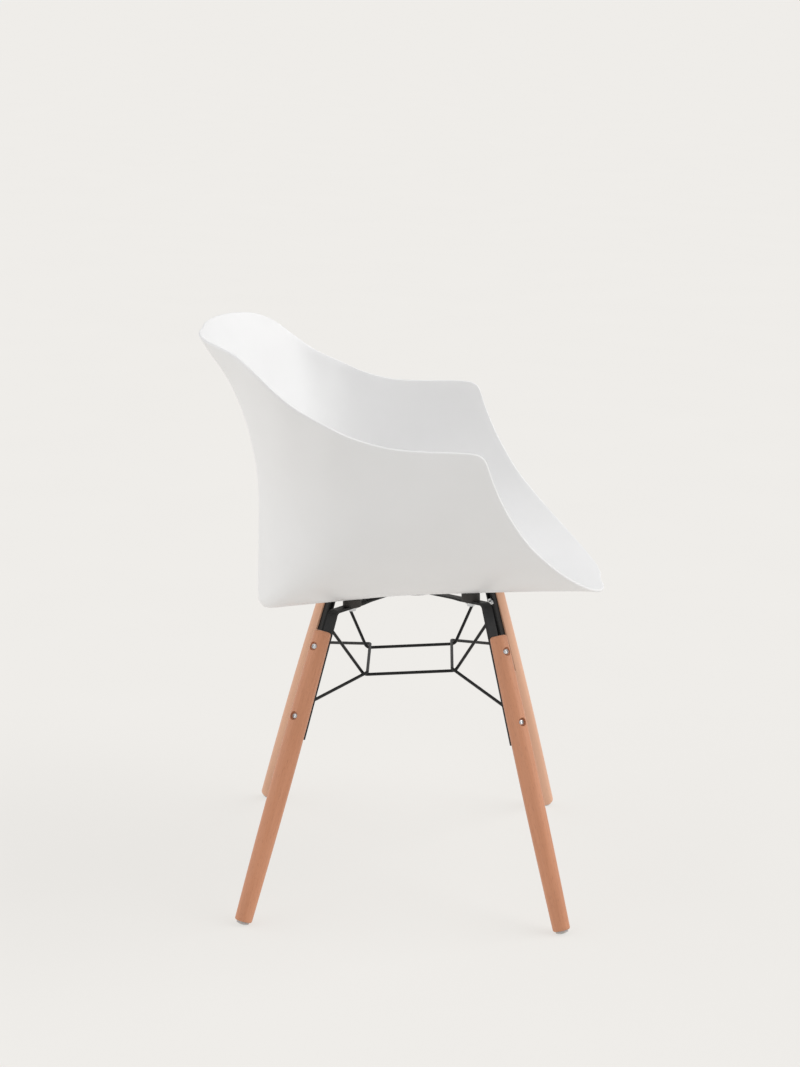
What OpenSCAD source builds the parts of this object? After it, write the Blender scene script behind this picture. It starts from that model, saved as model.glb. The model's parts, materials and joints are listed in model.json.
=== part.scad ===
// Dining armchair: a thin moulded tub shell on four leaning wooden legs, with a
// pressed-steel frame and a wire basket between them.
// The chair faces -Y, +Z is up, and the origin is on the floor under the middle of its
// outline. The sitter's right-hand side is at -X.

/* [Shell] */
// Half width that the shell's side walls approach
shell_half_width = 300; // [285:1:305]
// Height of the walls at which that half width is reached
shell_wall_reach = 330; // [310:1:350]
// Fullness of the walls: larger is squarer
shell_fullness = 2.5; // [2.2:0.1:2.8]
// Exponent that opens the sheet from its flat middle
shell_opening = 0.387; // [0.38:0.001:0.4]
// How much of its depth the back counts for in the wall height
back_ratio = 0.86; // [0.8:0.01:0.9]
// Wall thickness
shell_wall = 4.5; // [4:0.1:5]
// Softness of the corner between seat and back
corner_soft = 36; // [28:1:44]
// Sharpness of the crease that runs up from that corner
crease_power = 6; // [5:1:8]

/* [Legs] */
// Half spacing of the feet across the chair
foot_x = 278.5; // [272:0.5:284]
// Half spacing of the feet from front to back
foot_y = 229; // [224:0.5:234]
// Lean of each leg from the vertical, in degrees
leg_lean = 21.85; // [21.5:0.05:22.2]
// Length of the wooden leg along its axis
leg_length = 430; // [427:1:433]
// Leg radius at both ends
leg_end_r = 12.6; // [12.3:0.1:13]
// How much thicker the radius is in the middle
leg_swell = 1.9; // [1.5:0.1:2.2]
// Distance from the leg's axis to the flat that takes the bracket
flat_depth = 8.5; // [8:0.1:9.5]
// Height of the leg's bottom centre above the floor
leg_bottom_z = 4.9; // [4.8:0.1:5.2]

/* [Brackets] */
// Outside width of the channel
bracket_w = 15; // [14:0.5:16]
// Thickness of the web
web_t = 2.5; // [2.3:0.1:2.7]
// Thickness of the side flanges
flange_t = 2.2; // [2:0.1:2.5]
// Depth of the channel where the arm meets the knee
arm_depth = 3.6; // [3.4:0.1:3.8]
// Depth of the channel along the neck and the tongue
tongue_depth = 5.5; // [5:0.1:5.8]
// Depth of the channel at the tongue's lower end
tongue_end_depth = 8.5; // [8:0.1:9]
// Length of the tongue below the leg's top
tongue_length = 158; // [154:1:162]
// Height of the web's top at the middle of the frame
frame_z = 435.6; // [435:0.1:436]
// Height of the web's top at the front screws
front_arm_z = 443.9; // [443.5:0.1:444.2]
// Height of the web's top at the rear screws
rear_arm_z = 431.9; // [431.5:0.1:432]
// Outside radius of the bend at the knee
knee_r = 11; // [10:0.5:12]

/* [Seat mounting] */
// Half spacing of the shell screws across the chair
screw_x = 105; // [103:0.5:107]
// Height of the front bosses' lower ends above the web
front_boss_z = 6.8; // [6.5:0.1:7]
// Height of the rear bosses' lower ends above the web
rear_boss_z = 3.6; // [3.4:0.1:3.7]
// Radius of the rubber boots
boot_r = 13.5; // [13:0.5:14]

/* [Wires] */
// Diameter of the wires
wire_d = 4.6; // [4.4:0.1:4.8]
// Bend radius at a wire's centre line
wire_bend = 9; // [7:0.5:11]
// Half length of the straight part of the cross wires
cross_x = 78; // [76:0.5:80]
// Distance of the cross wires from the middle
cross_y = 62.5; // [61:0.5:64]

/* [Hidden] */
$fn = 48;

shell_white = "#f2f2f0";
beech = "#d79a6b";
steel_black = "#2b2b2c";
zinc = "#c9ccce";
brass_colour = "#c9a24a";
rubber_grey = "#3a3734";
glide_grey = "#a8a19a";

// The frame is modelled about the middle of the feet, and then moved back by this much so
// that the origin is under the middle of the whole outline.
outline_shift = -18.3;

// Plan direction of every leg and bracket: it runs from the centre to the foot.
plan_angle = atan2(foot_y, foot_x);
foot_r = norm([foot_x, foot_y]);
screw_r = screw_x / cos(plan_angle);

// ---- Seat shell ----

// Underside of the seat along the middle: [y, z]
seat_line = [[-300, 449.5], [-270, 451.8], [-240, 452.3], [-160, 449.1], [-40, 442.3],
    [30, 436.9], [90, 429.4], [120, 425.6], [180, 417.4], [240, 406.5], [330, 403.5]];
// Back face along the middle: [z, y]
back_line = [[380, 229], [560, 229.5], [600, 231], [640, 236.5], [700, 252.5], [755, 277.5], [800, 309],
    [830, 329]];
// The rim seen from the side, from the lip over the arm to the top of the back: [y, z]
rim_line = [[-282.3, 451.4], [-280, 454.5], [-267, 464], [-246, 480.5], [-216, 506], [-187, 534],
    [-161, 563], [-140, 594], [-122, 626], [-107, 660], [-97.6, 686], [-91, 694], [-80, 697.6],
    [-57, 698.5], [-18, 698], [25, 699], [58, 704], [90, 713], [117, 724.5], [145, 737], [172, 751],
    [200, 771], [221, 788], [240, 801.5], [258, 810], [280, 814.4], [303, 816], [318, 815]];

// How much wider the wings beside the back are than the plain wall: [y, share]
wing_line = [[0, 0], [50, 0.003], [85, 0.025], [116, 0.058], [150, 0.08], [190, 0.12], [215, 0.115],
    [235, 0.085], [256, 0.03], [275, 0.005], [290, 0], [330, 0]];
wing_from_z = 560;
wing_full_z = 730;

shell_rows = 56;
shell_columns = 30;
// Share of the rows that start from the seat and not from the back.
seat_share = 0.53;
slope_step = 0.5;

// Smooth curve through the points of a table, as a function of its first column.
function table_slope(t, i) =
    i <= 0 ? (t[1][1] - t[0][1]) / (t[1][0] - t[0][0])
    : i >= len(t) - 1 ? (t[i][1] - t[i - 1][1]) / (t[i][0] - t[i - 1][0])
    : (t[i + 1][1] - t[i - 1][1]) / (t[i + 1][0] - t[i - 1][0]);
function table_index(t, x, i = 0) = i >= len(t) - 2 || x < t[i + 1][0] ? i : table_index(t, x, i + 1);
function hermite(p0, p1, m0, m1, w, s) =
    (2 * s ^ 3 - 3 * s ^ 2 + 1) * p0 + (s ^ 3 - 2 * s ^ 2 + s) * w * m0
    + (3 * s ^ 2 - 2 * s ^ 3) * p1 + (s ^ 3 - s ^ 2) * w * m1;
function table_at(t, x) =
    let (i = table_index(t, x), w = t[i + 1][0] - t[i][0], s = (x - t[i][0]) / w)
    hermite(t[i][1], t[i + 1][1], table_slope(t, i), table_slope(t, i + 1), w, s);

// Smooth path through a list of points, at u from 0 to 1.
function path_slope(p, i) = (p[min(i + 1, len(p) - 1)] - p[max(i - 1, 0)]) / 2;
function path_at(p, u) =
    let (v = u * (len(p) - 1), i = min(floor(v), len(p) - 2))
    hermite(p[i], p[i + 1], path_slope(p, i), path_slope(p, i + 1), 1, v - i);

// Height of the wall at a point of the side view: its distance inside the folded sheet.
function wall_height(y, z) =
    let (above = z - table_at(seat_line, y), ahead = back_ratio * (table_at(back_line, z) - y),
        a = max(above + corner_soft, 0.01), b = max(ahead + corner_soft, 0.01))
    (a ^ -crease_power + b ^ -crease_power) ^ (-1 / crease_power) - corner_soft;
// Half width of the shell's outside at that wall height.
function half_width(m) =
    let (h = min(max(m, 0), shell_wall_reach))
    shell_half_width * (1 - (1 - h / shell_wall_reach) ^ shell_fullness) ^ shell_opening;
// Widening of the wings at a point of the side view.
function wing_gain(y, z) =
    let (s = min(max((z - wing_from_z) / (wing_full_z - wing_from_z), 0), 1))
    1 + table_at(wing_line, min(max(y, 0), 330)) * s * s * (3 - 2 * s);
// Wall height at a half width: the inverse of half_width.
function height_of_width(x) =
    shell_wall_reach * (1 - (1 - (x / shell_half_width) ^ (1 / shell_opening)) ^ (1 / shell_fullness));

// Point of the sheet's middle line for a row: down the back corner and along the seat.
function middle_guess(u) =
    u < seat_share ? let (s = u / seat_share) [-282 + s * 506, table_at(seat_line, -282 + s * 506)]
    : let (s = (u - seat_share) / (1 - seat_share)) [table_at(back_line, 418 + s * 397), 418 + s * 397];
function on_middle(p, steps = 6) =
    steps == 0 ? p
    : let (m = wall_height(p[0], p[1]), g = wall_gradient(p[0], p[1]), n = g * g)
    on_middle(p - g * m / n, steps - 1);
function wall_gradient(y, z) =
    [(wall_height(y + slope_step, z) - wall_height(y - slope_step, z)) / (2 * slope_step),
    (wall_height(y, z + slope_step) - wall_height(y, z - slope_step)) / (2 * slope_step)];

// Outside point of the shell: side is -1 or 1, share runs from the middle to the rim.
function side_point(u, share) =
    let (q = on_middle(middle_guess(u)), r = path_at(rim_line, u),
        x_rim = half_width(wall_height(r[0], r[1])),
        target = height_of_width(x_rim * share), top = height_of_width(x_rim),
        s = top < 0.01 ? share : target / top)
    q + (r - q) * s;
function outside_point(u, v) =
    let (p = side_point(u, abs(v)), m = max(wall_height(p[0], p[1]), 0))
    [sign(v) * (abs(v) < 0.001 ? 0 : half_width(m) * wing_gain(p[0], p[1])), p[0], p[1]];
// Unit normal of the outside, pointing away from the sitter.
function outside_normal(p) =
    let (g = wall_gradient(p[1], p[2]), m = max(wall_height(p[1], p[2]), 0.02),
        w = wing_gain(p[1], p[2]) * (half_width(m + 0.01) - half_width(m - 0.01)) / 0.02,
        wy = half_width(m) * (wing_gain(p[1] + 1, p[2]) - wing_gain(p[1] - 1, p[2])) / 2,
        wz = half_width(m) * (wing_gain(p[1], p[2] + 1) - wing_gain(p[1], p[2] - 1)) / 2,
        n = abs(p[0]) < 0.001 ? [0, -g[0], -g[1]]
            : [sign(p[0]), -w * g[0] - wy, -w * g[1] - wz])
    n / norm(n);
// Height of the shell's underside above a point of the plan, near the screws.
function underside_z(x, y, z = 450, steps = 6) =
    steps == 0 ? z : underside_z(x, y, z + height_of_width(x) - wall_height(y, z), steps - 1);

module seat_sheet() {
    last = shell_rows;
    width = shell_columns + 1;
    outer = [for (i = [0:last]) for (j = [0:shell_columns])
        outside_point(i / last, 2 * j / shell_columns - 1)];
    inner = [for (p = outer) p - shell_wall * outside_normal(p)];
    count = len(outer);
    grid = [for (i = [0:last - 1]) for (j = [0:shell_columns - 1])
        let (a = i * width + j, b = a + 1, c = a + width + 1, d = a + width) [a, b, c, d]];
    outer_faces = [for (q = grid) for (t = [[q[0], q[1], q[2]], [q[0], q[2], q[3]]]) t];
    inner_faces = [for (q = grid) for (t = [[q[0], q[2], q[1]], [q[0], q[3], q[2]]])
        [for (k = t) k + count]];
    edge_loop = concat([for (j = [0:shell_columns]) j],
        [for (i = [1:last]) i * width + shell_columns],
        [for (j = [1:shell_columns]) last * width + shell_columns - j],
        [for (i = [1:last - 1]) (last - i) * width]);
    loop_size = len(edge_loop);
    edge_faces = [for (k = [0:loop_size - 1])
        let (a = edge_loop[k], b = edge_loop[(k + 1) % loop_size])
        for (t = [[a, b + count, b], [a, a + count, b + count]]) t];
    polyhedron(points = concat(outer, inner),
        faces = concat(outer_faces, inner_faces, edge_faces), convexity = 8);
}

// ---- Placing ----

// side is -1 for the sitter's right and 1 for the left; end is -1 for the front and 1 for
// the rear. Each corner is modelled in its own upright plane: X outwards, Z up.
module at_corner(side, end) {
    translate([0, outline_shift, 0])
        mirror([side < 0 ? 1 : 0, 0, 0]) mirror([0, end < 0 ? 1 : 0, 0]) rotate([0, 0, plan_angle])
            children();
}

// The leg's own axes: Z along the leg from its bottom centre, X inwards across the flat.
module along_leg() {
    translate([foot_r - leg_bottom_z * tan(leg_lean), 0, leg_bottom_z])
        rotate([0, -leg_lean, 0]) rotate([0, 0, 180]) children();
}

// ---- Brackets ----

// The web's outer line in the corner's plane, from the centre out and down the leg.
function arm_end_z(end) = end < 0 ? front_arm_z : rear_arm_z;
arm_start_r = 12;
kink_r = 40;
flange_start_r = 102;
flange_full_r = 119;
function arm_rise(end) = (arm_end_z(end) - frame_z) / (screw_r - kink_r);
function arm_tilt(end) = atan(arm_rise(end));
// A point of the leg's own axes, in the corner's plane: [radius, height]
function leg_point(inward, along) =
    [foot_r - leg_bottom_z * tan(leg_lean) - inward * cos(leg_lean) - along * sin(leg_lean),
    leg_bottom_z - inward * sin(leg_lean) + along * cos(leg_lean)];
// Where the arm's line and the tongue's outer line cross.
function knee_point(end) =
    let (p = leg_point(flat_depth, 0), k = arm_rise(end),
        z = (frame_z + k * (p[0] + p[1] * tan(leg_lean) - kink_r)) / (1 + k * tan(leg_lean)))
    [p[0] + (p[1] - z) * tan(leg_lean), z];
function unit(v) = v / norm(v);
knee_steps = 8;
// Outer line: [point, inward normal, depth of the channel there].
function bracket_line(end) =
    let (knee = knee_point(end), tilt = arm_tilt(end),
        arm_dir = [cos(tilt), sin(tilt)], leg_dir = [sin(leg_lean), -cos(leg_lean)],
        turn = 90 - leg_lean + tilt, setback = knee_r * tan(turn / 2),
        centre = knee - setback * arm_dir + knee_r * [sin(tilt), -cos(tilt)],
        low = leg_point(flat_depth, leg_length - tongue_length),
        arm_in = [sin(tilt), -cos(tilt)], leg_in = [-cos(leg_lean), -sin(leg_lean)])
    concat([[[arm_start_r, frame_z], [0, -1], web_t],
            [[kink_r, frame_z], unit([sin(tilt) / 2, -1]), web_t],
            [[kink_r, frame_z] + (flange_start_r - kink_r) * arm_dir, arm_in, web_t],
            [[kink_r, frame_z] + (flange_full_r - kink_r) * arm_dir, arm_in, arm_depth]],
        [for (k = [0:knee_steps]) let (a = 90 + tilt - turn * k / knee_steps, n = [-cos(a), -sin(a)])
            [centre - knee_r * n, n, arm_depth + (tongue_depth - arm_depth) * k / knee_steps]],
        [[low, leg_in, tongue_end_depth]]);
// Side outline of the channel: depth_limit trims it to the web alone.
module bracket_outline(end, depth_limit) {
    line = bracket_line(end);
    last = len(line) - 1;
    polygon(concat([for (p = line) p[0]],
        [for (k = [0:last]) let (p = line[last - k]) p[0] + min(p[2], depth_limit) * p[1]]));
}
module upright(width) {
    rotate([90, 0, 0]) linear_extrude(width, center = true) children();
}
module channel(end) {
    upright(bracket_w) bracket_outline(end, web_t);
    for (s = [-1, 1]) translate([0, s * (bracket_w - flange_t) / 2, 0])
        upright(flange_t) bracket_outline(end, 100);
}

bolt_places = [leg_length - 24.5, leg_length - 128];
bolt_r = 3;
bolt_hole_r = 3.2;
rivet_r = 2.5;
rivet_place = 27;
screw_shank_r = 3;
screw_hole_r = 3.3;

module bracket(end) {
    color(steel_black) difference() {
        channel(end);
        along_leg() for (s = bolt_places) translate([flat_depth - 5, 0, s])
            rotate([0, 90, 0]) cylinder(r = bolt_hole_r, h = 15);
        on_screw(end) translate([0, 0, -10]) cylinder(r = screw_hole_r, h = 20);
        translate([rivet_place, 0, frame_z - 10]) cylinder(r = rivet_r, h = 20);
    }
}

plate_r = 38;
module plate() {
    color(steel_black) translate([0, outline_shift, frame_z - 2 * web_t]) difference() {
        cylinder(r = plate_r, h = web_t);
        for (side = [-1, 1], end = [-1, 1]) rotate([0, 0, 90 * (1 - side) + side * end * plan_angle])
            translate([rivet_place, 0, -1]) cylinder(r = rivet_r, h = web_t + 2);
        translate([0, 0, -1]) cylinder(r = 12, h = web_t + 2);
    }
}
rivet_head_r = 4.5;
rivet_head_h = 1.8;
// Flush on top, because the seat is just above it.
module rivet() {
    color(steel_black) translate([rivet_place, 0, frame_z - 2 * web_t]) {
        cylinder(r = rivet_r, h = 2 * web_t);
        translate([0, 0, -rivet_head_h]) cylinder(r1 = rivet_r, r2 = rivet_head_r, h = rivet_head_h);
    }
}

// ---- Seat mounting ----

// The screw's own axes: Z along the screw, from the top of the web.
module on_screw(end) {
    translate([screw_r, 0, arm_end_z(end)]) rotate([0, -arm_tilt(end), 0]) children();
}
insert_r = 4;
insert_length = 5;
boss_r = 7;
boss_h = 6;
boss_room = 0.2;
// How far the boots reach down the sides of the web, and how close they come to the shell.
boot_skirt = 1.8;
boot_gap = 0.5;
function boss_z(end) = end < 0 ? front_boss_z : rear_boss_z;
washer_r = 8;
washer_t = 1.4;
// A direction or a point of the whole chair, in the upright plane of a left-hand corner.
function to_corner(p, end) =
    [p[0] * cos(plan_angle) + end * p[1] * sin(plan_angle),
    end * p[1] * cos(plan_angle) - p[0] * sin(plan_angle), p[2]];
// Everything above a plane just under the shell, at the screw.
module above_underside(end) {
    y = end * screw_x * tan(plan_angle);
    p = [screw_x, y, underside_z(screw_x, y)];
    n = outside_normal(p);
    up = -to_corner(n, end);
    in_frame(to_corner(p + boot_gap * n, end), unit(cross([0, 1, 0], up)), up)
        translate([-30, -30, 0]) cube([60, 60, 30]);
}
module boot(end) {
    color(rubber_grey) difference() {
        on_screw(end) translate([0, 0, -boot_skirt]) cylinder(r = boot_r, h = 20);
        above_underside(end);
        upright(bracket_w) bracket_outline(end, 100);
        on_screw(end) translate([0, 0, -boot_skirt - 1]) cylinder(r = screw_hole_r, h = 20);
        on_screw(end) translate([0, 0, boss_z(end)]) cylinder(r = boss_r + boss_room, h = 20);
    }
}
module boss(end) {
    on_screw(end) translate([0, 0, boss_z(end)]) cylinder(r = boss_r, h = boss_h);
}
module insert_space(end) {
    on_screw(end) translate([0, 0, boss_z(end) - 1]) cylinder(r = insert_r, h = insert_length + 1);
}
module insert(end) {
    color(brass_colour) on_screw(end) translate([0, 0, boss_z(end)]) difference() {
        cylinder(r = insert_r, h = insert_length);
        translate([0, 0, -1]) cylinder(r = screw_shank_r, h = insert_length + 2);
    }
}
module screw(end) {
    head_h = 4;
    head_flats = 10;
    head_bottom = -arm_depth - washer_t - head_h;
    color(zinc) on_screw(end) {
        translate([0, 0, head_bottom]) cylinder(d = head_flats / cos(30), h = head_h, $fn = 6);
        translate([0, 0, head_bottom + 1])
            cylinder(r = screw_shank_r, h = boss_z(end) + insert_length - 2 - head_bottom);
    }
}
module washer(end) {
    color(zinc) on_screw(end) translate([0, 0, -arm_depth - washer_t]) difference() {
        cylinder(r = washer_r, h = washer_t);
        translate([0, 0, -1]) cylinder(r = screw_hole_r, h = washer_t + 2);
    }
}
module seat_shell() {
    color(shell_white) difference() {
        union() {
            translate([0, outline_shift, 0]) seat_sheet();
            for (side = [-1, 1], end = [-1, 1]) at_corner(side, end) boss(end);
        }
        for (side = [-1, 1], end = [-1, 1]) at_corner(side, end) insert_space(end);
    }
}

// ---- Legs ----

leg_steps = 20;
end_round = 3;
function leg_radius(s) = leg_end_r + leg_swell * sin(180 * s / leg_length);
top_round = 4;
head_r = 5.25;
head_h = 2.75;
counterbore_r = 6.4;
head_seat = 9.6;
pin_r = 1.2;
pin_length = 16;

module leg() {
    color(beech) along_leg() difference() {
        rotate_extrude() polygon(concat([[0, 0], [leg_radius(0) - end_round, 0]],
            [for (a = [30, 60]) [leg_radius(0) - end_round * (1 - sin(a)), end_round * (1 - cos(a))]],
            [for (k = [0:leg_steps])
                let (s = end_round + (leg_length - top_round - end_round) * k / leg_steps)
                [leg_radius(s), s]],
            [for (a = [30, 60])
                [leg_radius(leg_length) - top_round * (1 - cos(a)), leg_length - top_round * (1 - sin(a))]],
            [[leg_radius(leg_length) - top_round, leg_length], [0, leg_length]]));
        translate([flat_depth, -20, leg_length - tongue_length]) cube([20, 40, tongue_length + 1]);
        for (s = bolt_places) translate([0, 0, s]) rotate([0, 90, 0]) {
            translate([0, 0, -20]) cylinder(r = bolt_hole_r, h = 40);
            translate([0, 0, -20]) cylinder(r = counterbore_r, h = 20 - head_seat);
        }
        translate([0, 0, -1]) cylinder(r = pin_r, h = pin_length + 1);
    }
}
bolt_length = 30;
module leg_bolts() {
    socket_flats = 4;
    color(zinc) along_leg() for (s = bolt_places) translate([-head_seat, 0, s]) rotate([0, 90, 0]) difference() {
        union() {
            cylinder(r = bolt_r, h = bolt_length);
            intersection() {
                translate([0, 0, -head_h]) cylinder(r = head_r, h = head_h);
                translate([0, 0, 3.5]) sphere(r = head_h + 3.5);
            }
        }
        translate([0, 0, -head_h - 1]) cylinder(d = socket_flats / cos(30), h = 2.8, $fn = 6);
    }
}
module leg_nuts() {
    flats = 10;
    height = 5;
    flange_r = 5.2;
    color(zinc) along_leg() for (s = bolt_places) translate([flat_depth + web_t, 0, s]) rotate([0, 90, 0]) difference() {
        union() {
            cylinder(d = flats / cos(30), h = height, $fn = 6);
            cylinder(r = flange_r, h = 1.2);
        }
        translate([0, 0, -1]) cylinder(r = bolt_r, h = height + 2);
    }
}

glide_r = 9;
glide_side = 2.5;
glide_dome_r = 20;
module glide() {
    dome_centre = glide_dome_r - glide_side - (glide_dome_r - sqrt(glide_dome_r ^ 2 - glide_r ^ 2));
    color(glide_grey) difference() {
        along_leg() {
            intersection() {
                translate([0, 0, -6]) cylinder(r = glide_r, h = 6);
                translate([0, 0, dome_centre]) sphere(r = glide_dome_r, $fn = 96);
            }
            translate([0, 0, -1]) cylinder(r = pin_r, h = pin_length + 1);
        }
        translate([foot_r - 30, -30, -20]) cube([60, 60, 20]);
    }
}

// ---- Wires ----

// A bend is slightly thicker than the wire, so that the straight parts end inside it.
elbow_d = wire_d + 0.1;
elbow_overlap = 0.5;
// Gap between crossing wires.
wire_gap = 0.2;
// Places its children with their Z along one direction and their X along another.
module in_frame(origin, x_dir, z_dir) {
    y_dir = cross(z_dir, x_dir);
    multmatrix([[x_dir[0], y_dir[0], z_dir[0], origin[0]], [x_dir[1], y_dir[1], z_dir[1], origin[1]],
        [x_dir[2], y_dir[2], z_dir[2], origin[2]], [0, 0, 0, 1]]) children();
}
module rod(a, b) {
    d = unit(b - a);
    in_frame(a, unit(cross([0.3, 0.5, 0.9], d)), d) cylinder(d = wire_d, h = norm(b - a), $fn = 24);
}
// A round bend of the wire at the middle of three points.
module elbow(a, p, b) {
    into = unit(p - a);
    out = unit(b - p);
    turn = acos(into * out);
    setback = wire_bend * tan(turn / 2);
    axis = unit(cross(into, out));
    start = p - setback * into;
    inward = cross(axis, into);
    in_frame(start + wire_bend * inward, -inward, axis) rotate_extrude(angle = turn, $fn = 48)
        translate([wire_bend, 0]) circle(d = elbow_d, $fn = 24);
}
function setback_at(a, p, b) = wire_bend * tan(acos(unit(p - a) * unit(b - p)) / 2);
// A bent wire through a list of points, with round bends at the inner ones.
module wire(points) {
    last = len(points) - 1;
    cuts = [for (i = [0:last]) i == 0 || i == last ? 0
        : setback_at(points[i - 1], points[i], points[i + 1]) - elbow_overlap];
    for (i = [0:last - 1]) let (d = unit(points[i + 1] - points[i]))
        rod(points[i] + cuts[i] * d, points[i + 1] - cuts[i + 1] * d);
    for (i = [1:last - 1]) elbow(points[i - 1], points[i], points[i + 1]);
}
// Everything outside the inner face of a bracket's web, where the wires end.
module beyond_web(side, end) {
    at_corner(side, end) along_leg() translate([flat_depth + web_t - 60, -40, leg_length - 250])
        cube([60, 80, 420]);
}
// A wire's end at a web: spot is how far up the leg and how far to the side it lies.
function web_point(side, end, spot) =
    let (p = leg_point(flat_depth + web_t - 1, spot[0]))
    [side * (p[0] * cos(plan_angle) - spot[1] * sin(plan_angle)),
    end * (p[0] * sin(plan_angle) + spot[1] * cos(plan_angle)), p[1]];

// Values for the front and then the rear. The rear cross wire ends beside its brackets.
cross_z = [331.2, 321.9];
cross_ends = [[320, 2.5], [316.5, bracket_w / 2 + wire_d / 2 + 0.3]];
side_x = cross_x - 5;
side_y = cross_y + 5;
side_ends = [[458.5, 2.5], [440.5, 2.5]];
module cross_wire(end) {
    k = end < 0 ? 0 : 1;
    color(steel_black) difference() {
        translate([0, outline_shift, 0]) wire([web_point(-1, end, cross_ends[k]),
            [-cross_x, end * cross_y, cross_z[k]], [cross_x, end * cross_y, cross_z[k]],
            web_point(1, end, cross_ends[k])]);
        for (side = [-1, 1]) beyond_web(side, end);
    }
}
module side_wire(side) {
    // It lies under both cross wires.
    z_front = cross_z[0] - wire_d - wire_gap + (side_y - cross_y) * (cross_z[0] - cross_z[1]) / (2 * cross_y);
    z_rear = cross_z[1] - wire_d - wire_gap - (side_y - cross_y) * (cross_z[0] - cross_z[1]) / (2 * cross_y);
    color(steel_black) difference() {
        translate([0, outline_shift, 0]) wire([web_point(side, -1, side_ends[0]),
            [side * side_x, -side_y, z_front], [side * side_x, side_y, z_rear],
            web_point(side, 1, side_ends[1])]);
        for (end = [-1, 1]) beyond_web(side, end);
    }
}

module threaded_inserts() {
    for (side = [-1, 1], end = [-1, 1]) at_corner(side, end) insert(end);
}
module shell_screws() {
    for (side = [-1, 1], end = [-1, 1]) at_corner(side, end) screw(end);
}
module shell_washers() {
    for (side = [-1, 1], end = [-1, 1]) at_corner(side, end) washer(end);
}
module centre_rivets() {
    for (side = [-1, 1], end = [-1, 1]) at_corner(side, end) rivet();
}

seat_shell();
threaded_inserts();
at_corner(-1, -1) boot(-1);  // front_right_boot
at_corner(1, -1) boot(-1);  // front_left_boot
at_corner(-1, 1) boot(1);  // rear_right_boot
at_corner(1, 1) boot(1);  // rear_left_boot
shell_screws();
shell_washers();
at_corner(-1, -1) bracket(-1);  // front_right_bracket
at_corner(1, -1) bracket(-1);  // front_left_bracket
at_corner(-1, 1) bracket(1);  // rear_right_bracket
at_corner(1, 1) bracket(1);  // rear_left_bracket
plate();  // centre_plate
centre_rivets();
cross_wire(-1);  // front_cross_wire
cross_wire(1);  // rear_cross_wire
side_wire(-1);  // right_side_wire
side_wire(1);  // left_side_wire
at_corner(-1, -1) leg();  // front_right_leg
at_corner(1, -1) leg();  // front_left_leg
at_corner(-1, 1) leg();  // rear_right_leg
at_corner(1, 1) leg();  // rear_left_leg
at_corner(-1, -1) leg_bolts();  // front_right_leg_bolts
at_corner(1, -1) leg_bolts();  // front_left_leg_bolts
at_corner(-1, 1) leg_bolts();  // rear_right_leg_bolts
at_corner(1, 1) leg_bolts();  // rear_left_leg_bolts
at_corner(-1, -1) leg_nuts();  // front_right_leg_nuts
at_corner(1, -1) leg_nuts();  // front_left_leg_nuts
at_corner(-1, 1) leg_nuts();  // rear_right_leg_nuts
at_corner(1, 1) leg_nuts();  // rear_left_leg_nuts
at_corner(-1, -1) glide();  // front_right_glide
at_corner(1, -1) glide();  // front_left_glide
at_corner(-1, 1) glide();  // rear_right_glide
at_corner(1, 1) glide();  // rear_left_glide
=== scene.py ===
"""Looks for the dining armchair: a fine tub shell, its materials, a pale floor and soft light.

Metres, in the CAD part's frame: the sitter faces -Y, +Z is up, the sitter's right is -X.
"""

import json
import math

import bmesh
import bpy
import numpy as np
from mathutils import Matrix, Vector


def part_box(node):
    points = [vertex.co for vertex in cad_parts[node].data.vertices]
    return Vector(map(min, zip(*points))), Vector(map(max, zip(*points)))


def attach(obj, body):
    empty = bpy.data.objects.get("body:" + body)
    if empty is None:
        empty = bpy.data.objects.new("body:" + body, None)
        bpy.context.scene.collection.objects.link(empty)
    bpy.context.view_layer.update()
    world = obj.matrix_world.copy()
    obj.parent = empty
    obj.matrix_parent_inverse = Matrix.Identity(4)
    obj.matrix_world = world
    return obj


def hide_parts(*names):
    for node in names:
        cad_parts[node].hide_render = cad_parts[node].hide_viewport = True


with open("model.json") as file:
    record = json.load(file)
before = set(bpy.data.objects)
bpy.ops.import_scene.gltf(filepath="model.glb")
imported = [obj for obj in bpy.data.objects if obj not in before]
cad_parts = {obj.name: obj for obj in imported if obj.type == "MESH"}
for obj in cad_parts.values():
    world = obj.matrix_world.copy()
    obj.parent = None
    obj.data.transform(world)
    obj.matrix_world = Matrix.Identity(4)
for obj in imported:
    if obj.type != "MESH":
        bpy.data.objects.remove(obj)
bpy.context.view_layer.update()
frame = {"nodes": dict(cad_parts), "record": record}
record = frame["record"]
scene = bpy.context.scene

MM = 0.001
SIDES = ("right", "left")
ENDS = ("front", "rear")
CORNERS = [f"{end}_{side}" for end in ENDS for side in SIDES]

# The chair is drawn about the middle of its feet, which lies this far from the origin.
feet_y = [m["pos_m"][1] for m in record["mounts"]]
SHIFT_Y = sum(feet_y) / len(feet_y)


# ---- Small helpers ----


def new_object(name, points, faces):
    """A smooth-shaded mesh object from points in metres."""
    mesh = bpy.data.meshes.new(name)
    mesh.from_pydata([tuple(p) for p in points], [], faces)
    work = bmesh.new()
    work.from_mesh(mesh)
    bmesh.ops.recalc_face_normals(work, faces=work.faces)
    work.to_mesh(mesh)
    work.free()
    for polygon in mesh.polygons:
        polygon.use_smooth = True
    obj = bpy.data.objects.new(name, mesh)
    scene.collection.objects.link(obj)
    return obj


def centre_of(node):
    """Middle of a CAD node's box."""
    low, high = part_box(node)
    return (Vector(low) + Vector(high)) / 2


# ---- Seat shell ----

# The same sheet as the CAD shell, in millimetres about the middle of the feet.
HALF_WIDTH = 300
WALL_REACH = 330
FULLNESS = 2.5
OPENING = 0.387
BACK_RATIO = 0.86
WALL = 4.5
CORNER_SOFT = 36
CREASE_POWER = 6
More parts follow.
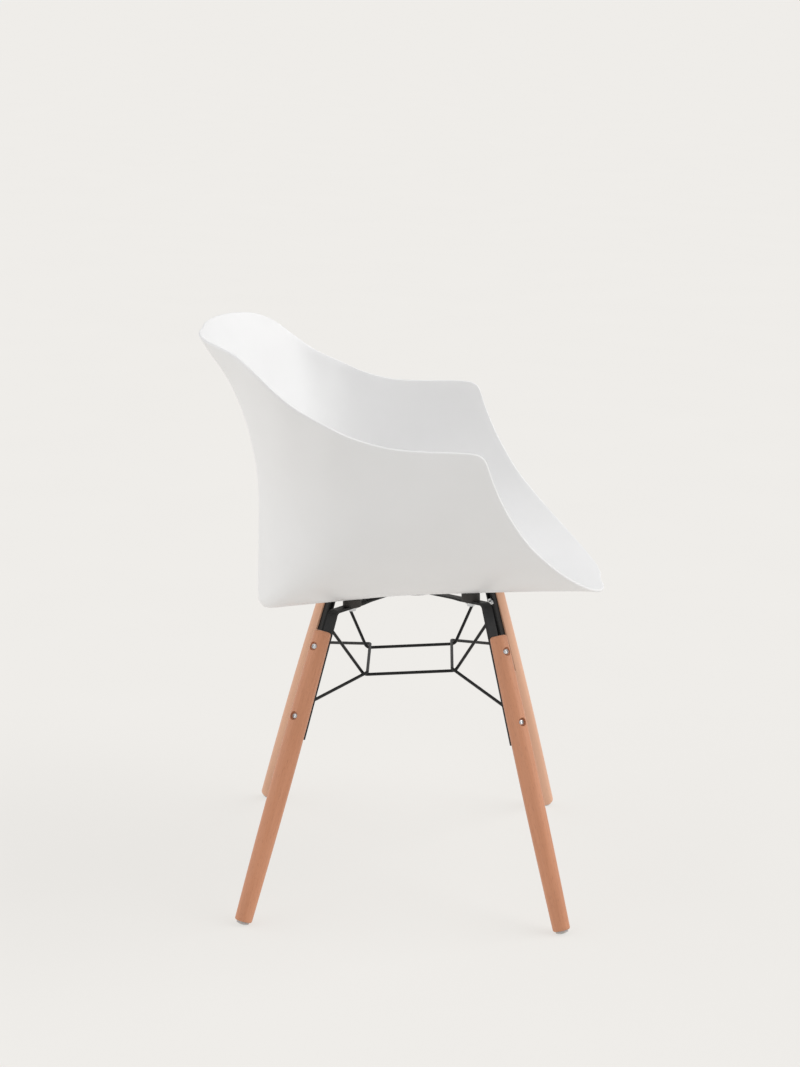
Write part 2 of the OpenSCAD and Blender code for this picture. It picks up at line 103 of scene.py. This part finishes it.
# The middle line runs along the seat for the first share of its way, then up the back.
SEAT_SHARE = 0.53
LIP_Y = -282
SEAT_RUN = 506
BACK_FROM_Z = 418
BACK_RUN = 397
ROWS = 250
COLUMNS = 200
EDGE_STEPS = 8
# Steps and limits of the shape's own arithmetic: slopes of heights, of widths and of wings,
# how often a point is moved onto the sheet, and what counts as no height or no width.
HEIGHT_STEP = 0.5
WIDTH_STEP = 0.01
WING_STEP = 1
SETTLE_TIMES = 6
NO_HEIGHT = 0.01
LEAST_HEIGHT = 0.02
NO_WIDTH = 0.001
# Share of the sheet's length or width over which its scale at the rim is measured
RIM_STEP = 0.01
# Bosses: radius, flare where they meet the sheet, edge rounding, and how far they reach
# into the boot and into the sheet
BOSS_RADIUS = 7
BOSS_FLARE = 4
BOSS_EDGE = 0.4
BOSS_IN_BOOT = 1
BOSS_IN_SHEET = 1.5
BOSS_TURNS = 40
BOSS_ARC_STEPS = 6

# Underside of the seat along the middle: y, z
SEAT_LINE = np.array([
    (-300, 449.5), (-270, 451.8), (-240, 452.3), (-160, 449.1), (-40, 442.3), (30, 436.9),
    (90, 429.4), (120, 425.6), (180, 417.4), (240, 406.5), (330, 403.5),
])
# Back face along the middle: z, y
BACK_LINE = np.array([
    (380, 229), (560, 229.5), (600, 231), (640, 236.5), (700, 252.5), (755, 277.5), (800, 309),
    (830, 329),
])
# The rim seen from the side, from the lip over the arm to the top of the back: y, z
RIM_LINE = np.array([
    (-282.3, 451.4), (-280, 454.5), (-267, 464), (-246, 480.5), (-216, 506), (-187, 534),
    (-161, 563), (-140, 594), (-122, 626), (-107, 660), (-97.6, 686), (-91, 694), (-80, 697.6),
    (-57, 698.5), (-18, 698), (25, 699), (58, 704), (90, 713), (117, 724.5), (145, 737), (172, 751),
    (200, 771), (221, 788), (240, 801.5), (258, 810), (280, 814.4), (303, 816), (318, 815),
])
# How much wider the wings beside the back are than the plain wall: y, share
WING_LINE = np.array([
    (0, 0), (50, 0.003), (85, 0.025), (116, 0.058), (150, 0.08), (190, 0.12), (215, 0.115),
    (235, 0.085), (256, 0.03), (275, 0.005), (290, 0), (330, 0),
])
WING_FROM_Z = 560
WING_FULL_Z = 730


def hermite(start, end, start_slope, end_slope, width, s):
    """Cubic from start to end over a width, at the fraction s."""
    return (
        (2 * s**3 - 3 * s**2 + 1) * start
        + (s**3 - 2 * s**2 + s) * width * start_slope
        + (3 * s**2 - 2 * s**3) * end
        + (s**3 - s**2) * width * end_slope
    )


def table_at(table, x):
    """Smooth curve through a table's points, as a function of its first column."""
    xs, ys = table[:, 0], table[:, 1]
    slopes = np.empty(len(xs))
    slopes[1:-1] = (ys[2:] - ys[:-2]) / (xs[2:] - xs[:-2])
    slopes[0] = (ys[1] - ys[0]) / (xs[1] - xs[0])
    slopes[-1] = (ys[-1] - ys[-2]) / (xs[-1] - xs[-2])
    i = np.clip(np.searchsorted(xs, x, side="right") - 1, 0, len(xs) - 2)
    width = xs[i + 1] - xs[i]
    return hermite(ys[i], ys[i + 1], slopes[i], slopes[i + 1], width, (x - xs[i]) / width)


def path_at(path, u):
    """Smooth path through a list of points, at u from 0 to 1."""
    ahead = np.vstack([path[1:], path[-1:]])
    behind = np.vstack([path[:1], path[:-1]])
    slopes = (ahead - behind) / 2
    v = u * (len(path) - 1)
    i = np.minimum(np.floor(v).astype(int), len(path) - 2)
    s = (v - i)[..., None]
    return hermite(path[i], path[i + 1], slopes[i], slopes[i + 1], 1, s)


def wall_height(y, z):
    """Distance inside the folded sheet of the seat and the back."""
    above = z - table_at(SEAT_LINE, y)
    ahead = BACK_RATIO * (table_at(BACK_LINE, z) - y)
    a = np.maximum(above + CORNER_SOFT, NO_HEIGHT)
    b = np.maximum(ahead + CORNER_SOFT, NO_HEIGHT)
    return (a**-CREASE_POWER + b**-CREASE_POWER) ** (-1 / CREASE_POWER) - CORNER_SOFT


def wall_gradient(y, z):
    """Slopes of the wall height along y and along z."""
    step = HEIGHT_STEP
    return (
        (wall_height(y + step, z) - wall_height(y - step, z)) / (2 * step),
        (wall_height(y, z + step) - wall_height(y, z - step)) / (2 * step),
    )


def half_width(height):
    """Half the tub's width at a distance inside the folded sheet."""
    h = np.clip(height, 0, WALL_REACH)
    return HALF_WIDTH * (1 - (1 - h / WALL_REACH) ** FULLNESS) ** OPENING


def wing_gain(y, z):
    """Widening of the wings at a point of the side view."""
    s = np.clip((z - WING_FROM_Z) / (WING_FULL_Z - WING_FROM_Z), 0, 1)
    share = table_at(WING_LINE, np.clip(y, WING_LINE[0, 0], WING_LINE[-1, 0]))
    return 1 + share * s * s * (3 - 2 * s)


def height_of_width(x):
    """The inverse of half_width."""
    return WALL_REACH * (1 - (1 - (x / HALF_WIDTH) ** (1 / OPENING)) ** (1 / FULLNESS))


def middle_point(u):
    """The sheet's middle line: along the seat from the lip, then up the back."""
    seat_y = LIP_Y + u / SEAT_SHARE * SEAT_RUN
    back_z = BACK_FROM_Z + (u - SEAT_SHARE) / (1 - SEAT_SHARE) * BACK_RUN
    on_seat = u < SEAT_SHARE
    y = np.where(on_seat, seat_y, table_at(BACK_LINE, back_z))
    z = np.where(on_seat, table_at(SEAT_LINE, seat_y), back_z)
    for _ in range(SETTLE_TIMES):
        height = wall_height(y, z)
        gy, gz = wall_gradient(y, z)
        size = gy * gy + gz * gz
        y = y - gy * height / size
        z = z - gz * height / size
    return y, z


def outside_point(u, v):
    """Outside of the sheet: u runs from the lip to the top, v across from -1 to 1."""
    y0, z0 = middle_point(u)
    rim = path_at(RIM_LINE, u)
    rim_x = half_width(wall_height(rim[..., 0], rim[..., 1]))
    target = height_of_width(rim_x * np.abs(v))
    top = height_of_width(rim_x)
    s = np.where(top < NO_HEIGHT, np.abs(v), target / np.maximum(top, NO_HEIGHT))
    y = y0 + (rim[..., 0] - y0) * s
    z = z0 + (rim[..., 1] - z0) * s
    width = half_width(wall_height(y, z)) * wing_gain(y, z)
    x = np.sign(v) * np.where(np.abs(v) < NO_WIDTH, 0, width)
    return np.stack([x, y, z], axis=-1)


def outside_normal(p):
    """Unit normal of the outside, away from the sitter."""
    y, z = p[..., 1], p[..., 2]
    height = np.maximum(wall_height(y, z), LEAST_HEIGHT)
    wider = half_width(height + WIDTH_STEP) - half_width(height - WIDTH_STEP)
    slope = wing_gain(y, z) * wider / (2 * WIDTH_STEP)
    rise_y = wing_gain(y + WING_STEP, z) - wing_gain(y - WING_STEP, z)
    rise_z = wing_gain(y, z + WING_STEP) - wing_gain(y, z - WING_STEP)
    wing_y = half_width(height) * rise_y / (2 * WING_STEP)
    wing_z = half_width(height) * rise_z / (2 * WING_STEP)
    gy, gz = wall_gradient(y, z)
    in_middle = np.abs(p[..., 0]) < NO_WIDTH
    x = np.where(in_middle, 0, np.sign(p[..., 0]))
    ny = np.where(in_middle, -gy, -slope * gy - wing_y)
    nz = np.where(in_middle, -gz, -slope * gz - wing_z)
    n = np.stack([x, ny, nz], axis=-1)
    return n / np.linalg.norm(n, axis=-1, keepdims=True)


def shell_grid():
    """Points of the outside, drawn in from the rim by half a wall for the rounded edge."""
    along = np.linspace(0, 1, ROWS + 1)
    across = np.linspace(-1, 1, COLUMNS + 1)
    a, b = np.meshgrid(along, across, indexing="ij")
    lip, top, side = a * 0, a * 0 + 1, b * 0 + 1
    inset, step = WALL / 2, RIM_STEP
    from_lip = np.linalg.norm(outside_point(lip + step, b) - outside_point(lip, b), axis=-1)
    from_top = np.linalg.norm(outside_point(top, b) - outside_point(top - step, b), axis=-1)
    low = inset * step / from_lip
    high = inset * step / from_top
    u = low + (1 - low - high) * a
    near_rim = outside_point(u, side) - outside_point(u, side - step)
    v = b * (1 - inset * step / np.linalg.norm(near_rim, axis=-1))
    return outside_point(u, v)


def rim_loop():
    """Indices of the grid's boundary, once round."""
    across = COLUMNS + 1
    lip = list(range(across))
    one_side = [i * across + COLUMNS for i in range(1, ROWS + 1)]
    top = [ROWS * across + COLUMNS - j for j in range(1, across)]
    other_side = [(ROWS - i) * across for i in range(1, ROWS)]
    return np.array(lip + one_side + top + other_side)


def make_shell():
    """The sheet's points in metres and its faces: both sides and a rounded edge between them."""
    grid = shell_grid()
    outer = grid.reshape(-1, 3)
    normals = outside_normal(grid).reshape(-1, 3)
    inner = outer - WALL * normals
    count, across = len(outer), COLUMNS + 1
    faces = []
    for i in range(ROWS):
        for j in range(COLUMNS):
            a = i * across + j
            quad = (a, a + 1, a + across + 1, a + across)
            faces.append(quad)
            faces.append(tuple(k + count for k in reversed(quad)))
    loop = rim_loop()
    along = outer[np.roll(loop, -1)] - outer[np.roll(loop, 1)]
    away = np.cross(along, normals[loop])
    away /= np.linalg.norm(away, axis=-1, keepdims=True)
    inwards = outer.mean(axis=0) - outer[loop]
    away *= -np.sign((away * inwards).sum())
    strips = [loop]
    extra = []
    for k in range(1, EDGE_STEPS):
        turn = math.pi * k / EDGE_STEPS
        ring = (
            outer[loop] - WALL / 2 * normals[loop] * (1 - math.cos(turn))
            + WALL / 2 * away * math.sin(turn)
        )
        strips.append(2 * count + (k - 1) * len(loop) + np.arange(len(loop)))
        extra.append(ring)
    strips.append(loop + count)
    for first, second in zip(strips, strips[1:]):
        for k in range(len(loop)):
            m = (k + 1) % len(loop)
            faces.append((int(first[k]), int(first[m]), int(second[m]), int(second[k])))
    points = np.vstack([outer, inner] + extra) * MM
    points[:, 1] += SHIFT_Y
    return points, faces


def boss(foot, top_z):
    """A moulded boss between a rubber boot and the sheet, flared where it joins the sheet."""
    radius, flare, edge, turns = BOSS_RADIUS * MM, BOSS_FLARE * MM, BOSS_EDGE * MM, BOSS_TURNS
    low = foot.z
    profile = [(radius / 2, low), (radius - edge, low), (radius, low + edge)]
    for k in range(BOSS_ARC_STEPS + 1):
        angle = math.pi / 2 * k / BOSS_ARC_STEPS
        out, drop = flare * (1 - math.cos(angle)), flare * (1 - math.sin(angle))
        profile.append((radius + out, top_z - drop))
    turned = [2 * math.pi * t / turns for t in range(turns)]
    points = [
        (foot.x + r * math.cos(angle), foot.y + r * math.sin(angle), z)
        for r, z in profile
        for angle in turned
    ]
    faces = []
    for k in range(len(profile) - 1):
        for t in range(turns):
            n = (t + 1) % turns
            ring, above = k * turns, (k + 1) * turns
            faces.append((ring + t, ring + n, above + n, above + t))
    faces.append(tuple(range(turns)))
    faces.append(tuple(range((len(profile) - 1) * turns, len(profile) * turns)))
    return points, faces


def add_mesh(points, faces, more):
    """Appends one mesh to another."""
    start = len(points)
    more_points, more_faces = more
    points.extend(more_points)
    faces.extend(tuple(i + start for i in face) for face in more_faces)


def make_seat():
    """The shell and its four bosses as one piece, in place of the CAD node."""
    shell_points, faces = make_shell()
    points = [tuple(p) for p in shell_points]
    outer = shell_points[: (ROWS + 1) * (COLUMNS + 1)]
    for corner in CORNERS:
        boot_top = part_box(f"{corner}_boot")[1][2]
        foot = centre_of(f"{corner}_boot")
        foot.z = boot_top - BOSS_IN_BOOT * MM
        near = outer[np.argmin(np.hypot(outer[:, 0] - foot.x, outer[:, 1] - foot.y))]
        add_mesh(points, faces, boss(foot, near[2] + BOSS_IN_SHEET * MM))
    seat = new_object("seat_shell_fine", points, faces)
    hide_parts("seat_shell")
    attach(seat, "root")
    return seat


# ---- Materials ----


class Nodes:
    """A material's node tree, with short calls for the nodes used here."""

    def __init__(self, name):
        self.material = bpy.data.materials.new(name)
        self.material.use_nodes = True
        self.tree = self.material.node_tree
        self.shader = self.tree.nodes["Principled BSDF"]
        self.place = self.node("ShaderNodeTexCoord").outputs["Object"]

    def node(self, kind, **values):
        made = self.tree.nodes.new(kind)
        for key, value in values.items():
            setattr(made, key, value)
        return made

    def link(self, source, target):
        self.tree.links.new(source, target)

    def set(self, **values):
        """Uniform values, set on the shader's own sockets."""
        for key, value in values.items():
            self.shader.inputs[key.replace("_", " ")].default_value = value

    def mapped(self, rotation=(0, 0, 0), scale=(1, 1, 1), place=(0, 0, 0)):
        """The object's coordinates, turned first and then scaled."""
        turn = self.node("ShaderNodeMapping")
        turn.inputs["Rotation"].default_value = rotation
        turn.inputs["Location"].default_value = place
        self.link(self.place, turn.inputs["Vector"])
        stretch = self.node("ShaderNodeMapping")
        stretch.inputs["Scale"].default_value = scale
        self.link(turn.outputs["Vector"], stretch.inputs["Vector"])
        return stretch.outputs["Vector"]

    def noise(self, where, scale, detail=3, roughness=0.5):
        made = self.node("ShaderNodeTexNoise")
        made.inputs["Scale"].default_value = scale
        made.inputs["Detail"].default_value = detail
        made.inputs["Roughness"].default_value = roughness
        self.link(where, made.inputs["Vector"])
        return made.outputs["Fac"]

    def ramp(self, value, stops):
        made = self.node("ShaderNodeValToRGB")
        elements = made.color_ramp.elements
        while len(elements) < len(stops):
            elements.new(0.5)
        for element, (place, colour) in zip(elements, stops):
            element.position = place
            element.color = (*colour, 1)
        self.link(value, made.inputs["Fac"])
        return made.outputs["Color"]

    def spread(self, value, low, high):
        """A value from 0 to 1, spread between low and high."""
        made = self.node("ShaderNodeMapRange")
        made.inputs["To Min"].default_value = low
        made.inputs["To Max"].default_value = high
        self.link(value, made.inputs["Value"])
        return made.outputs["Result"]

    def math(self, operation, a, b):
        made = self.node("ShaderNodeMath", operation=operation)
        for socket, value in zip(made.inputs, (a, b)):
            if isinstance(value, (int, float)):
                socket.default_value = value
            else:
                self.link(value, socket)
        return made.outputs["Value"]

    def mix(self, factor, a, b):
        made = self.node("ShaderNodeMix", data_type="RGBA")
        if isinstance(factor, (int, float)):
            made.inputs["Factor"].default_value = factor
        else:
            self.link(factor, made.inputs["Factor"])
        for key, value in (("A", a), ("B", b)):
            socket = next(s for s in made.inputs if s.name == key and s.type == "RGBA")
            if isinstance(value, tuple):
                socket.default_value = (*value, 1)
            else:
                self.link(value, socket)
        return next(s for s in made.outputs if s.type == "RGBA")

    def bump(self, height, strength, distance):
        made = self.node("ShaderNodeBump")
        made.inputs["Strength"].default_value = strength
        made.inputs["Distance"].default_value = distance
        self.link(height, made.inputs["Height"])
        self.link(made.outputs["Normal"], self.shader.inputs["Normal"])

    def colour(self, source):
        self.link(source, self.shader.inputs["Base Color"])

    def roughness(self, source):
        self.link(source, self.shader.inputs["Roughness"])


def shell_plastic():
    """White polypropylene with a fine moulded texture."""
    m = Nodes("shell_plastic")
    grain = m.noise(m.place, 1400, detail=2)
    broad = m.noise(m.place, 14, detail=3)
    m.colour(m.ramp(broad, [(0.3, (0.803, 0.801, 0.80)), (0.7, (0.818, 0.816, 0.816))]))
    m.roughness(m.spread(grain, 0.36, 0.46))
    m.bump(grain, 0.06, 0.0002)
    m.set(Specular_IOR_Level=0.4)
    return m.material


def powder_coat():
    """Black powder-coated steel."""
    m = Nodes("black_steel")
    peel = m.noise(m.place, 900, detail=2)
    broad = m.noise(m.place, 60, detail=3)
    m.colour(m.ramp(broad, [(0.3, (0.006, 0.006, 0.0065)), (0.7, (0.010, 0.010, 0.0105))]))
    m.roughness(m.spread(peel, 0.34, 0.5))
    m.bump(peel, 0.25, 0.0002)
    m.set(Specular_IOR_Level=0.3)
    return m.material


def zinc():
    """Zinc-plated steel."""
    m = Nodes("zinc_steel")
    grain = m.noise(m.place, 700, detail=4)
    m.colour(m.ramp(grain, [(0.3, (0.60, 0.61, 0.62)), (0.7, (0.72, 0.73, 0.74))]))
    m.roughness(m.spread(grain, 0.22, 0.4))
    m.bump(grain, 0.1, 0.0001)
    m.set(Metallic=1.0)
    return m.material


def brass():
    m = Nodes("brass")
    grain = m.noise(m.place, 700, detail=4)
    m.colour(m.ramp(grain, [(0.3, (0.62, 0.44, 0.18)), (0.7, (0.75, 0.56, 0.26))]))
    m.roughness(m.spread(grain, 0.25, 0.42))
    m.set(Metallic=1.0)
    return m.material


def rubber():
    """Soft grey-brown rubber."""
    m = Nodes("rubber")
    grain = m.noise(m.place, 500, detail=4)
    m.colour(m.ramp(grain, [(0.3, (0.028, 0.025, 0.023)), (0.7, (0.045, 0.040, 0.036))]))
    m.roughness(m.spread(grain, 0.6, 0.8))
    m.bump(grain, 0.3, 0.0002)
    return m.material


def glide_plastic():
    """Pale translucent grey nylon."""
    m = Nodes("glide_plastic")
    grain = m.noise(m.place, 600, detail=3)
    m.colour(m.ramp(grain, [(0.3, (0.40, 0.38, 0.36)), (0.7, (0.48, 0.46, 0.44))]))
    m.roughness(m.spread(grain, 0.35, 0.5))
    m.bump(grain, 0.1, 0.0002)
    m.set(Subsurface_Weight=0.15, Subsurface_Scale=0.004)
    return m.material


def beech(corner, seed):
    """Clear-lacquered beech: long grain, growth rings and short dark flecks along the leg."""
    foot = centre_of(f"{corner}_glide")
    leg = centre_of(f"{corner}_leg")
    axis = (leg - foot).normalized()
    turn = axis.rotation_difference(Vector((0, 0, 1))).to_euler()
    m = Nodes(f"beech_{corner}")
    origin = (seed * 1.7, seed * 0.9, seed * 2.3)
    long_grain = m.noise(m.mapped(turn, (1, 1, 0.035), origin), 420, detail=5, roughness=0.62)
    broad = m.noise(m.mapped(turn, (1, 1, 0.10), origin), 46, detail=3)
    flecks = m.noise(m.mapped(turn, (1, 1, 0.085), origin), 1500, detail=2)
    rings = m.node("ShaderNodeTexWave", wave_type="BANDS", bands_direction="X")
    rings.inputs["Scale"].default_value = 60
    rings.inputs["Distortion"].default_value = 7
    rings.inputs["Detail"].default_value = 3
    rings.inputs["Detail Scale"].default_value = 1.2
    m.link(m.mapped(turn, (1, 1, 0.06), origin), rings.inputs["Vector"])
    base = m.ramp(broad, [(0.3, (0.53, 0.225, 0.117)), (0.7, (0.62, 0.275, 0.15))])
    ringed = m.mix(m.math("MULTIPLY", rings.outputs["Fac"], 0.32), base, (0.45, 0.19, 0.10))
    streaked = m.mix(m.spread(long_grain, -0.25, 0.6), ringed, (0.63, 0.31, 0.19))
    mask = m.ramp(flecks, [(0.60, (0, 0, 0)), (0.68, (1, 1, 1))])
    flecked = m.mix(m.math("MULTIPLY", mask, 0.45), streaked, (0.33, 0.13, 0.065))
    # Painted light: the left legs, on the far side, are painted paler than the right ones, for the
    # brighter light that falls on the far legs.
    pale = m.spread(broad, 0.38, 0.52) if corner.endswith("left") else m.spread(broad, 0.0, 0.04)
    m.colour(m.mix(pale, flecked, (0.86, 0.58, 0.42)))
    m.roughness(m.spread(long_grain, 0.38, 0.52))
    m.bump(long_grain, 0.12, 0.0002)
    m.set(Specular_IOR_Level=0.35)
    return m.material


def paint_nodes():
    """Gives each shown CAD node its material, by the slot that the record names."""
    by_slot = {
        "black_steel": powder_coat(),
        "zinc_steel": zinc(),
        "brass": brass(),
        "rubber": rubber(),
        "glide_plastic": glide_plastic(),
    }
    for part in record["subparts"]:
        name, slot = part["node"], part["material_slot"]
        if slot == "shell_plastic":
            continue
        if slot == "beech":
            corner = name.removesuffix("_leg")
            material = beech(corner, CORNERS.index(corner) + 1)
        else:
            material = by_slot[slot]
        for holder in frame["nodes"][name].material_slots:
            holder.material = material


# ---- Floor, light and camera ----

BACKDROP = (0.856, 0.838, 0.807)
FLOOR_HALF = 200
# The floor gives off part of its own brightness, so that the shadows on it stay pale.
FLOOR_GLOW = 0.748
SKY_STRENGTH = 0.57
LENS_MM = 84.35
SENSOR_MM = 36
# Far enough to reach the floor's edge
SIGHT = 500
# Turn from straight across the chair, tilt below level and roll, in radians
YAW, PITCH, ROLL = 0.0095, 0.23114, 0.02541
# From the middle of the feet
CAMERA_PLACE = (-3.62586, -0.014259, 1.36877)


def make_floor():
    size = FLOOR_HALF
    corners = [(-size, -size, 0), (size, -size, 0), (size, size, 0), (-size, size, 0)]
    floor = new_object("floor", corners, [(0, 1, 2, 3)])
    m = Nodes("floor_paint")
    mottle = m.noise(m.place, 3, detail=2)
    m.colour(m.ramp(mottle, [(0.3, (0.20, 0.196, 0.19)), (0.7, (0.205, 0.201, 0.195))]))
    m.roughness(m.spread(mottle, 0.85, 0.95))
    m.set(Specular_IOR_Level=0.0, Emission_Strength=FLOOR_GLOW, Emission_Color=(*BACKDROP, 1))
    floor.data.materials.append(m.material)


def add_sun(name, energy, spread, toward):
    """Soft light from far off: toward is the direction from the chair to the light."""
    data = bpy.data.lights.new(name, "SUN")
    data.energy = energy
    data.angle = math.radians(spread)
    lamp = bpy.data.objects.new(name, data)
    lamp.rotation_euler = Vector(toward).to_track_quat("Z", "Y").to_euler()
    scene.collection.objects.link(lamp)


def make_light():
    """An even white room, brighter in front of the chair, behind it and above it."""
    world = bpy.data.worlds.new("studio")
    scene.world = world
    world.use_nodes = True
    sky = world.node_tree.nodes["Background"]
    sky.inputs["Color"].default_value = (1, 1, 1, 1)
    sky.inputs["Strength"].default_value = SKY_STRENGTH
    add_sun("front_light", 1.75, 60, (0.05, -0.85, 0.75))
    add_sun("back_light", 1.1, 90, (-0.05, 0.95, 0.45))


def make_camera():
    """The camera stands off the sitter's right, above the arms, and looks a little down."""
    data = bpy.data.cameras.new("camera")
    data.lens = LENS_MM
    data.sensor_width = SENSOR_MM
    data.clip_end = SIGHT
    camera = bpy.data.objects.new("camera", data)
    reach, drop = math.cos(PITCH), math.sin(PITCH)
    ahead = Vector((math.cos(YAW) * reach, math.sin(YAW) * reach, -drop))
    level = Vector((math.sin(YAW), -math.cos(YAW), 0))
    upright = level.cross(ahead)
    right = level * math.cos(ROLL) + upright * math.sin(ROLL)
    up = upright * math.cos(ROLL) - level * math.sin(ROLL)
    x, y, z = CAMERA_PLACE
    place = Matrix.Translation(Vector((x, y + SHIFT_Y, z)))
    camera.matrix_world = place @ Matrix((right, up, -ahead)).transposed().to_4x4()
    scene.collection.objects.link(camera)
    scene.camera = camera


scene.view_settings.view_transform = "Standard"
make_floor()
make_light()
make_camera()
seat = make_seat()
seat.data.materials.append(shell_plastic())
paint_nodes()
